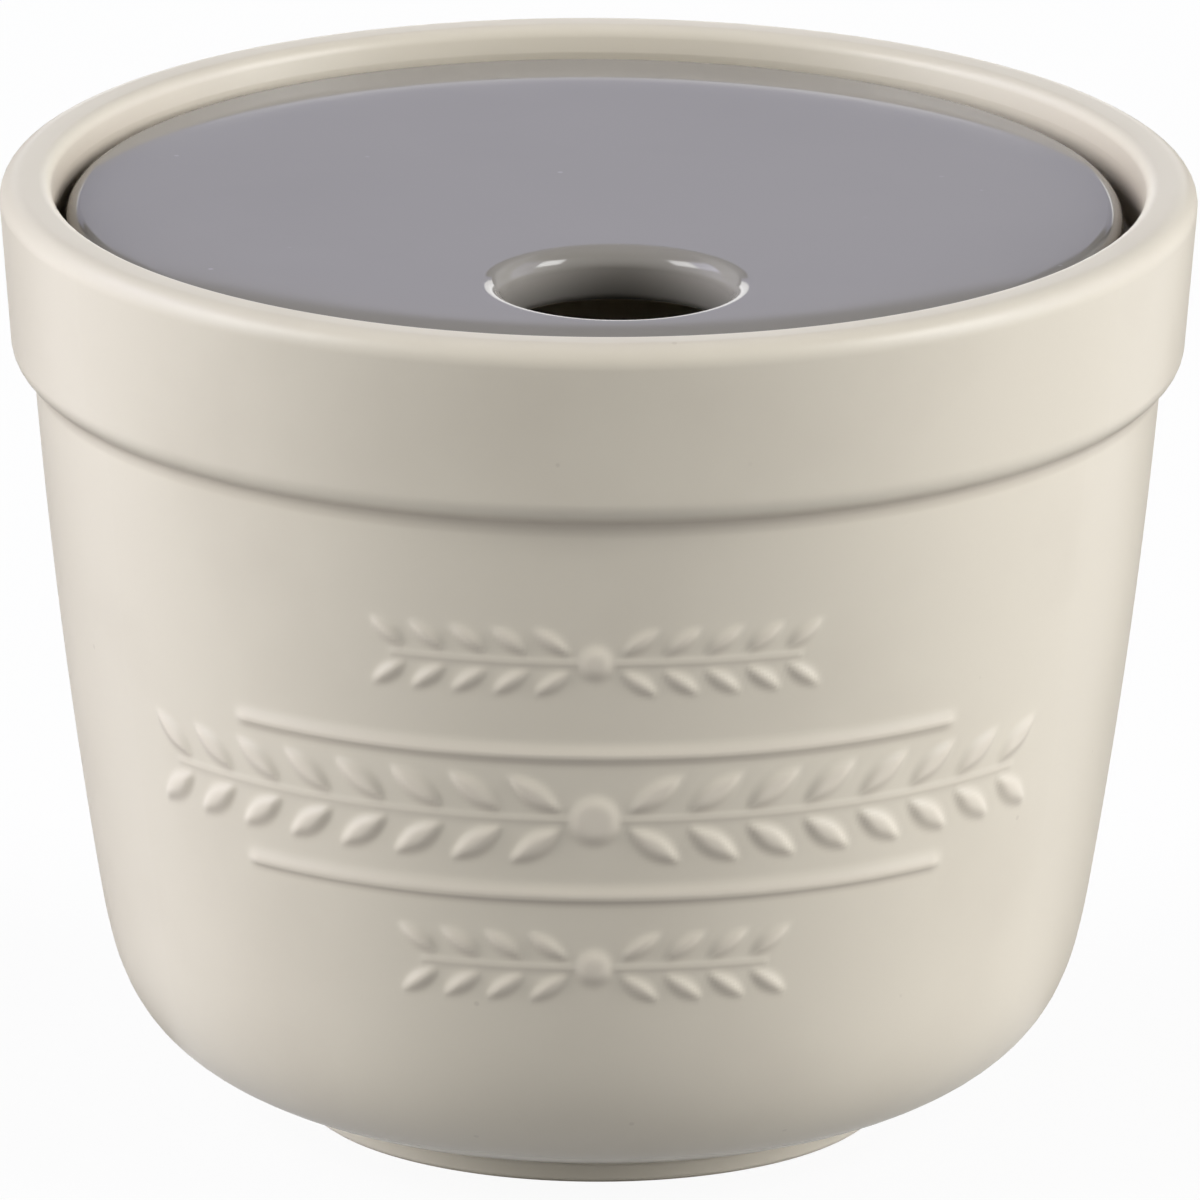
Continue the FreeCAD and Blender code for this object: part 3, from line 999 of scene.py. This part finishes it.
class KEEPER_OT_pot(bpy.types.Operator):
    """Model the glazed pot with its collar, foot ring and relief"""
    bl_idname = "keeper.pot"
    bl_label = "Pot"

    def execute(self, context):
        scene = context.scene
        shape = PotShape(scene.keeper_pot)
        wall_rows = int((shape.collar_base - shape.sizes.knee_height) / RELIEF_PITCH)
        bm = turned(pot_corners(shape, wall_rows), pot_sectors(shape))
        pot = finished(bm, "glazed_pot")
        raise_relief(pot.data, shape, scene.keeper_relief)
        shade_recess_sides(pot.data, shape, scene.keeper_glaze.recess_shade)
        glaze = cream_glaze(shared_glaze(), scene.keeper_glaze, shape.collar_base)
        pot.data.materials.append(glaze)
        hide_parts("pot")
        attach(pot, "pot")
        return {"FINISHED"}


class KEEPER_OT_lid(bpy.types.Operator):
    """Model the glazed lid with its finger hole"""
    bl_idname = "keeper.lid"
    bl_label = "Lid"

    def execute(self, context):
        scene = context.scene
        lid = finished(lid_mesh(scene.keeper_lid), "glazed_lid")
        lid.data.materials.append(grey_glaze(shared_glaze(), scene.keeper_glaze))
        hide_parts("lid")
        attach(lid, "lid")
        return {"FINISHED"}


class KEEPER_OT_stage(bpy.types.Operator):
    """Set up the floor, the lights, the world and the camera"""
    bl_idname = "keeper.stage"
    bl_label = "Stage"

    def execute(self, context):
        bm = bmesh.new()
        bmesh.ops.create_grid(bm, x_segments=1, y_segments=1, size=FLOOR_HALF_WIDTH)
        floor = finished(bm, "floor")
        floor.data.materials.append(floor_material())
        studio_world()
        dark_card("dark_card_left", -1, 0.0)
        dark_card("dark_card_right", 1, 12 * MM)
        add_camera(context.scene.keeper_studio)
        context.scene.view_settings.view_transform = "Standard"
        return {"FINISHED"}


class KEEPER_PT_panel(bpy.types.Panel):
    """Lists the pieces and their sizes"""
    bl_idname = "KEEPER_PT_panel"
    bl_label = "Garlic keeper"
    bl_space_type = "VIEW_3D"
    bl_region_type = "UI"
    bl_category = "Garlic keeper"

    def draw(self, context):
        for operator in OPERATORS:
            self.layout.operator(operator.bl_idname)
        for attribute, group in GROUPS:
            box = self.layout.box()
            box.label(text=group.__name__)
            for key in group.__annotations__:
                box.prop(getattr(context.scene, attribute), key)


OPERATORS = (KEEPER_OT_pot, KEEPER_OT_lid, KEEPER_OT_stage)


def register():
    for attribute, group in GROUPS:
        bpy.utils.register_class(group)
        setattr(bpy.types.Scene, attribute, bpy.props.PointerProperty(type=group))
    for operator in OPERATORS:
        bpy.utils.register_class(operator)
    bpy.utils.register_class(KEEPER_PT_panel)


def unregister():
    bpy.utils.unregister_class(KEEPER_PT_panel)
    for operator in reversed(OPERATORS):
        bpy.utils.unregister_class(operator)
    for attribute, group in reversed(GROUPS):
        delattr(bpy.types.Scene, attribute)
        bpy.utils.unregister_class(group)


def main():
    """Makes every piece and the stage."""
    register()
    bpy.ops.keeper.pot()
    bpy.ops.keeper.lid()
    bpy.ops.keeper.stage()


if __name__ == "__main__":
    main()
